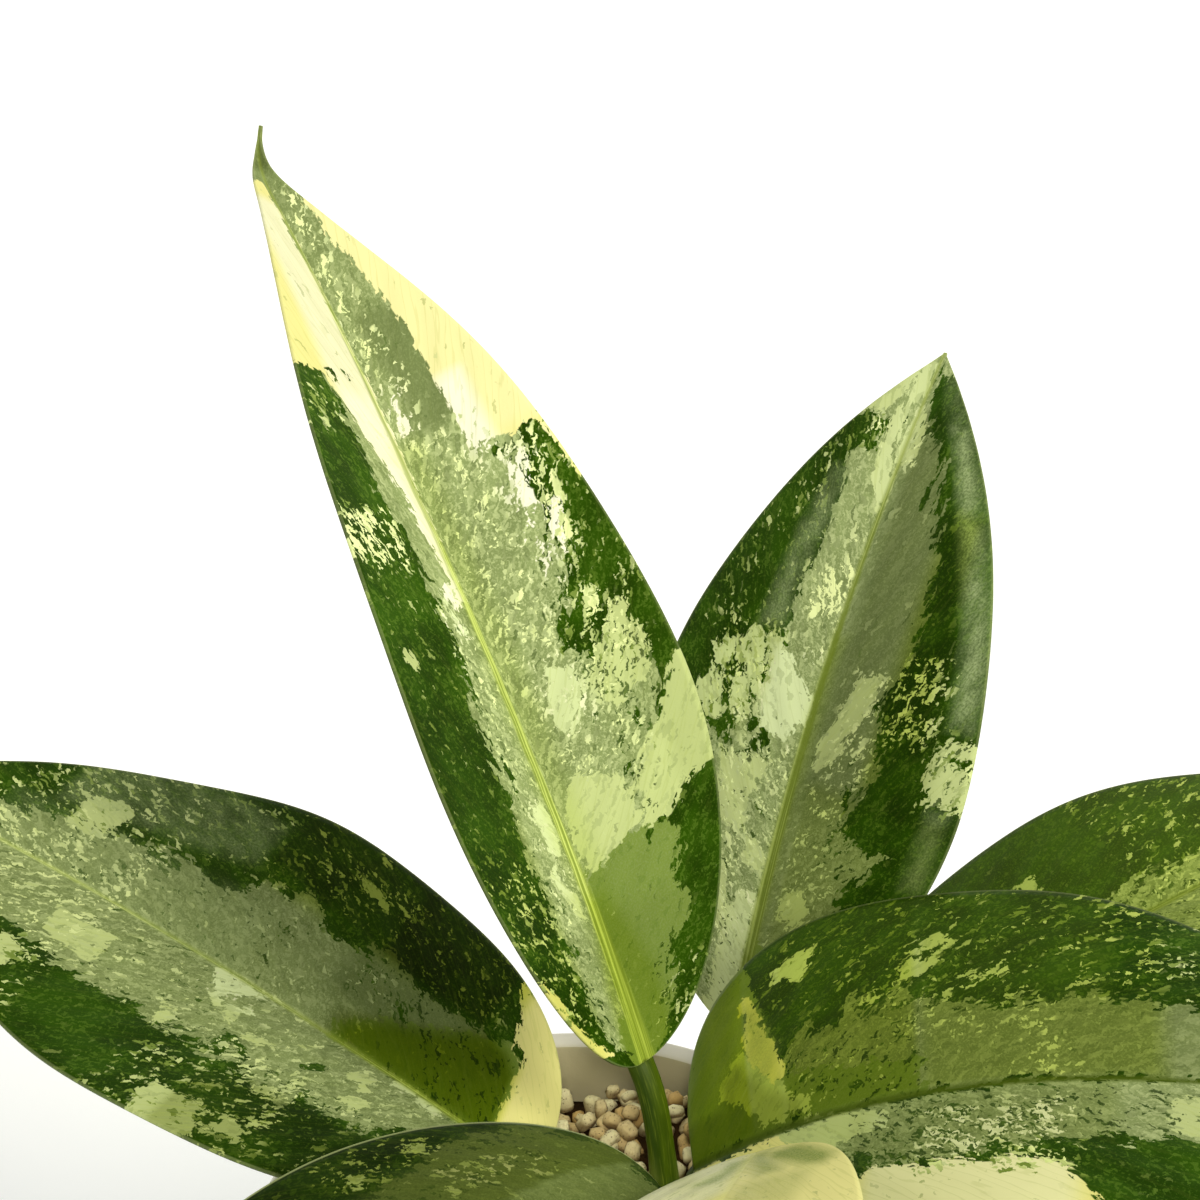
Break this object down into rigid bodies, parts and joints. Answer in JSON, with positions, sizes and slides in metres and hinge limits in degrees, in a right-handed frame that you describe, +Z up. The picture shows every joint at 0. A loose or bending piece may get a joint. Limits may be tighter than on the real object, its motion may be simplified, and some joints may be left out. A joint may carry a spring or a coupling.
{
  "type": "potted suvarnabhumi chinese evergreen",
  "caption": "Potted Chinese evergreen with pointed leaves marbled in green, silver and cream, on a short stem in pumice in a plain round pot.",
  "frame": {"origin": "centre of the pot's flat base", "axes": "+Z up along the pot's axis, -Y toward the side that the picture shows, +X to the right"},
  "size_m": [0.3268, 0.26, 0.2893],
  "materials": {
    "pot": "smooth white satin glaze",
    "pumice": "rough matte cream and tan grains",
    "stem": "smooth olive green stem tissue",
    "leaf": "waxy satin leaf, dark green with silver green and cream marbling"
  },
  "bodies": {
    "root": {"pot": "pot", "pumice": "pumice", "stem": "stem", "leaf_tall": "leaf", "leaf_back_right": "leaf", "leaf_front": "leaf", "leaf_right": "leaf", "leaf_front_left": "leaf", "leaf_left": "leaf", "leaf_far_right": "leaf"}
  },
  "joints": []
}
